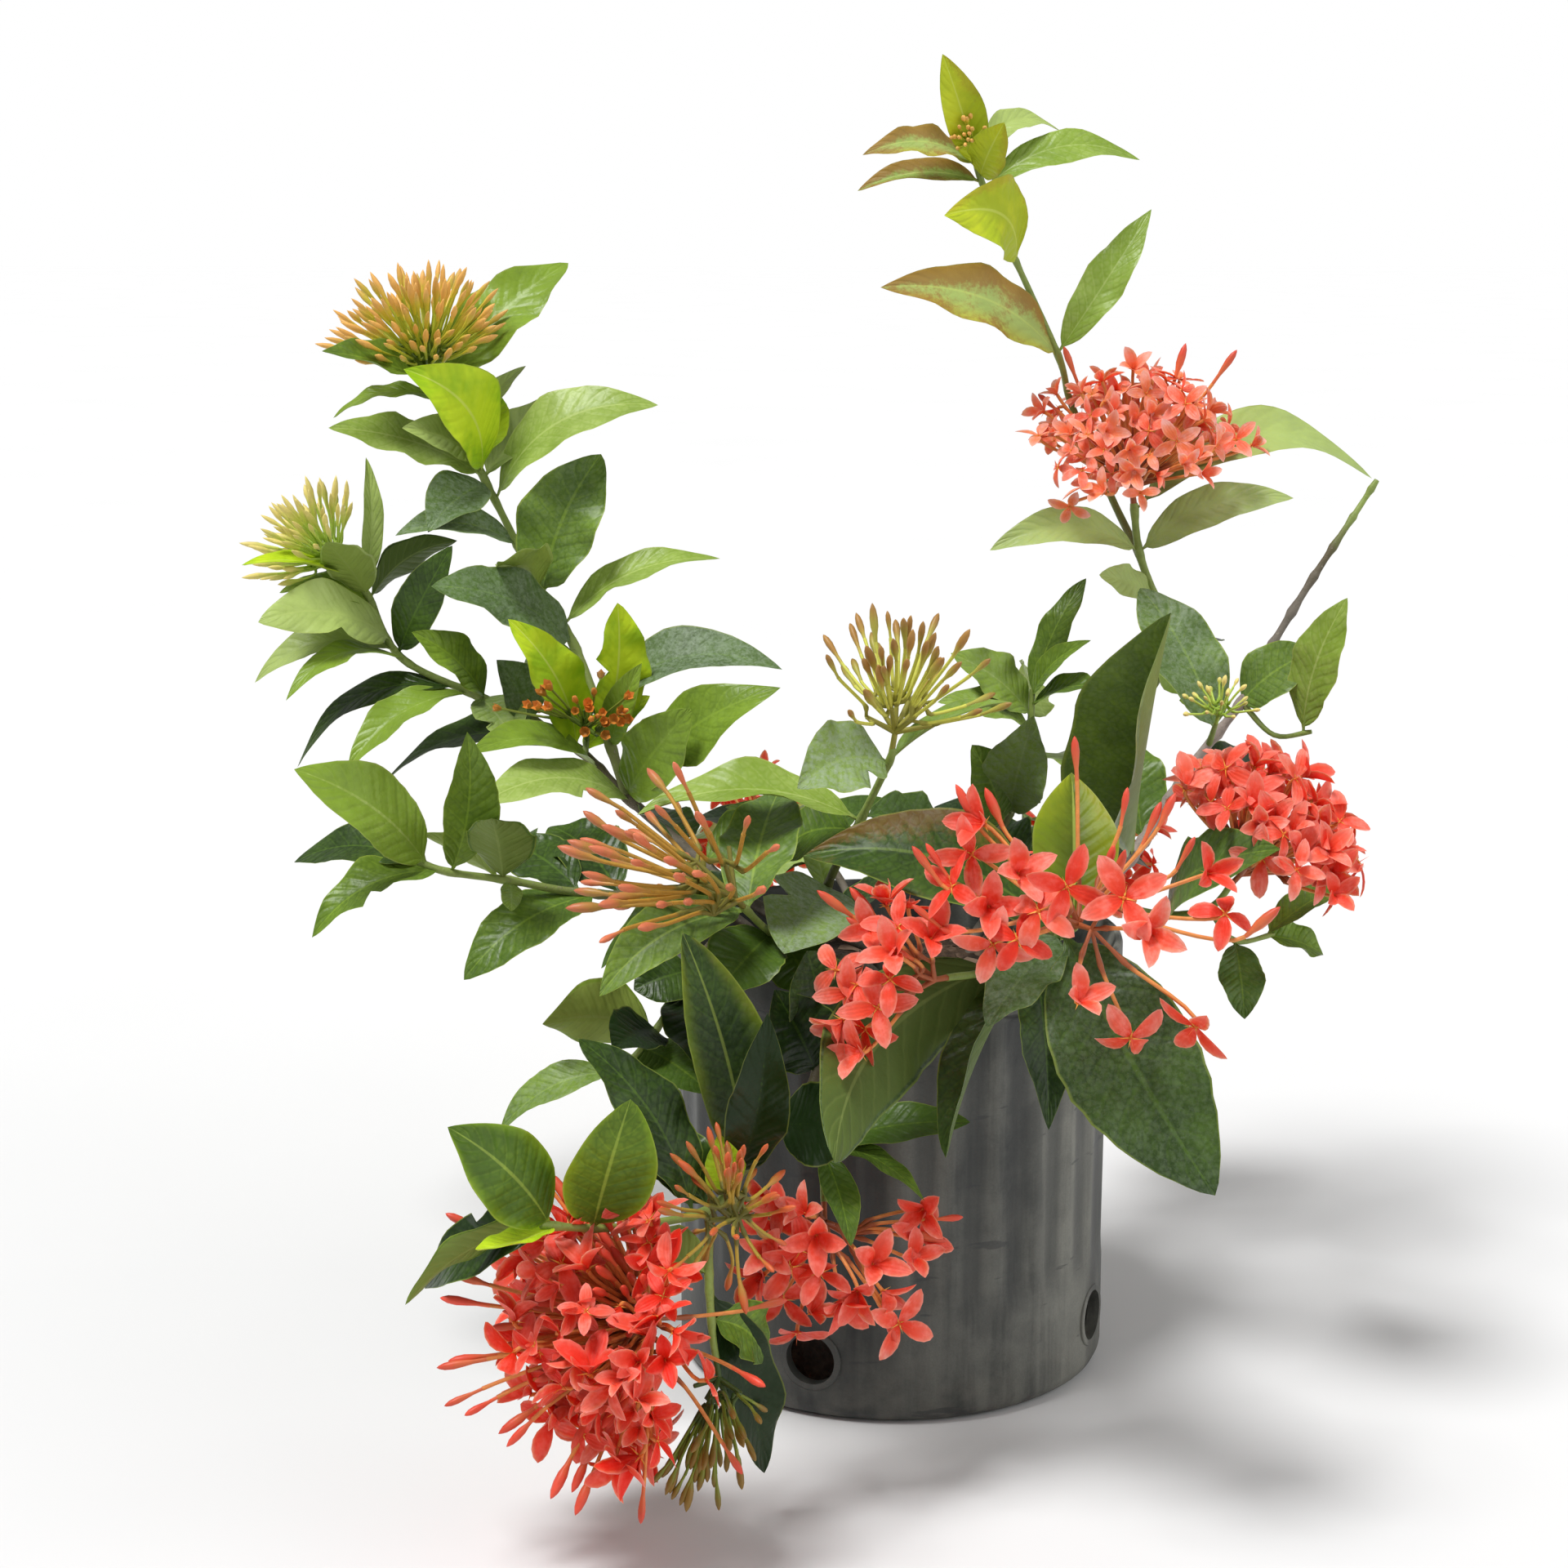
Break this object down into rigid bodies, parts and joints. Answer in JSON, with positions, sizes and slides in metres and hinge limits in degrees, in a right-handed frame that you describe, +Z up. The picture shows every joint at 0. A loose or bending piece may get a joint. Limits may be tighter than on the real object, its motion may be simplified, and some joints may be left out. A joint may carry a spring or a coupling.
{
  "type": "potted ixora",
  "caption": "Flowering ixora shrub in a fluted nursery pot, leafy stems leaning out and trailing over the rim, tipped with coral flower heads and clusters of buds.",
  "frame": {"origin": "centre of the pot's flat underside, on the surface the pot stands on", "axes": "+Z up, -Y towards the front of the plant, where a low stem trails over the rim; +X to the right seen from there"},
  "size_m": [0.6868, 0.6175, 0.7321],
  "materials": {
    "pot": "matte, dusty",
    "soil": "rough bark mix",
    "leafy_stem": "glossy leaves on green to brown bark",
    "coral_flower": "satin",
    "salmon_bud": "satin",
    "green_bud": "satin",
    "young_bud": "satin",
    "calyx": "matte"
  },
  "bodies": {
    "root": {"pot": "pot", "soil": "soil", "stem_back_left": "leafy_stem", "stem_left": "leafy_stem", "stem_bud_front": "leafy_stem", "stem_middle": "leafy_stem", "stem_top_right": "leafy_stem", "stem_right": "leafy_stem", "stem_front_right": "leafy_stem", "stem_low_front": "leafy_stem", "stem_low_left": "leafy_stem", "stem_back_shoot": "leafy_stem", "stem_back_middle": "leafy_stem", "stem_back_right": "leafy_stem", "buds_tall_left": "young_bud", "buds_pale_left": "young_bud", "calyces_left": "calyx", "buds_front": "salmon_bud", "buds_middle": "green_bud", "bloom_top_right": "coral_flower", "buds_top": "young_bud", "bloom_right": "coral_flower", "buds_right": "young_bud", "bloom_front_right": "coral_flower", "bloom_front_side": "coral_flower", "bloom_low_left": "coral_flower", "buds_low_front": "salmon_bud", "buds_hanging": "green_bud", "bloom_low_middle": "coral_flower", "bloom_back_middle": "coral_flower", "bloom_back_right": "coral_flower"}
  },
  "joints": []
}
